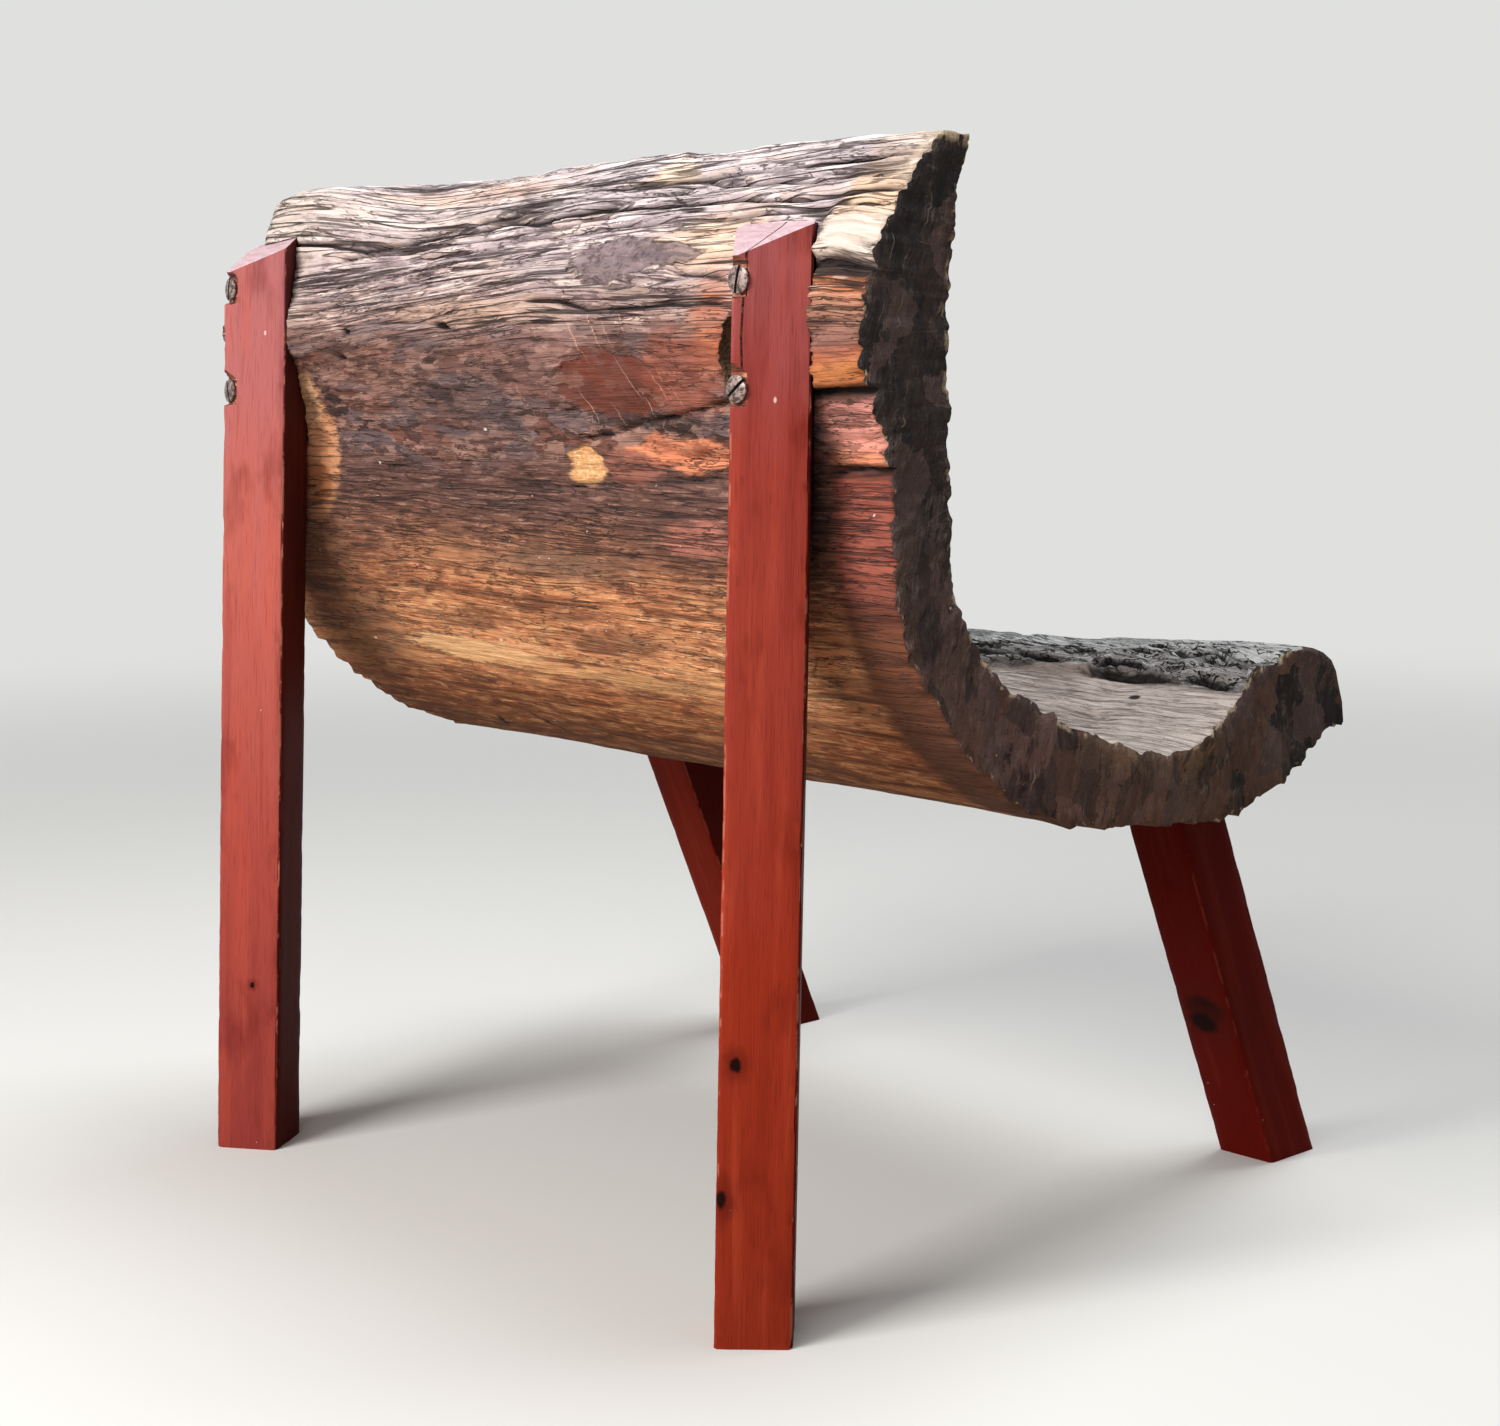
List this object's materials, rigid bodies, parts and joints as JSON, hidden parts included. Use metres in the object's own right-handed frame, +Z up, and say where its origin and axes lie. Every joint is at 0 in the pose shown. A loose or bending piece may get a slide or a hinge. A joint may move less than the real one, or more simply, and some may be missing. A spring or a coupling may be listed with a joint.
{
  "type": "slab chair",
  "caption": "Rustic low chair: a split hollow-log slab forms back, seat and lip, let onto square stained back posts held by slotted screws, with raked front legs.",
  "frame": {"origin": "centre of the chair's footprint, on the floor", "axes": "+Z up, -Y the way the chair faces, +X along the log towards the sitter's left"},
  "size_m": [0.5193, 0.4444, 0.544],
  "materials": {
    "weathered_log": "bare, weathered and hewn",
    "stained_bar": "red-brown stain under satin varnish",
    "screw_steel": "dulled and weathered"
  },
  "bodies": {
    "root": {"log_slab": "weathered_log", "back_post_right": "stained_bar", "back_post_left": "stained_bar", "front_leg_right": "stained_bar", "front_leg_left": "stained_bar", "upper_screw_right": "screw_steel", "lower_screw_right": "screw_steel", "upper_screw_left": "screw_steel", "lower_screw_left": "screw_steel"}
  },
  "joints": []
}
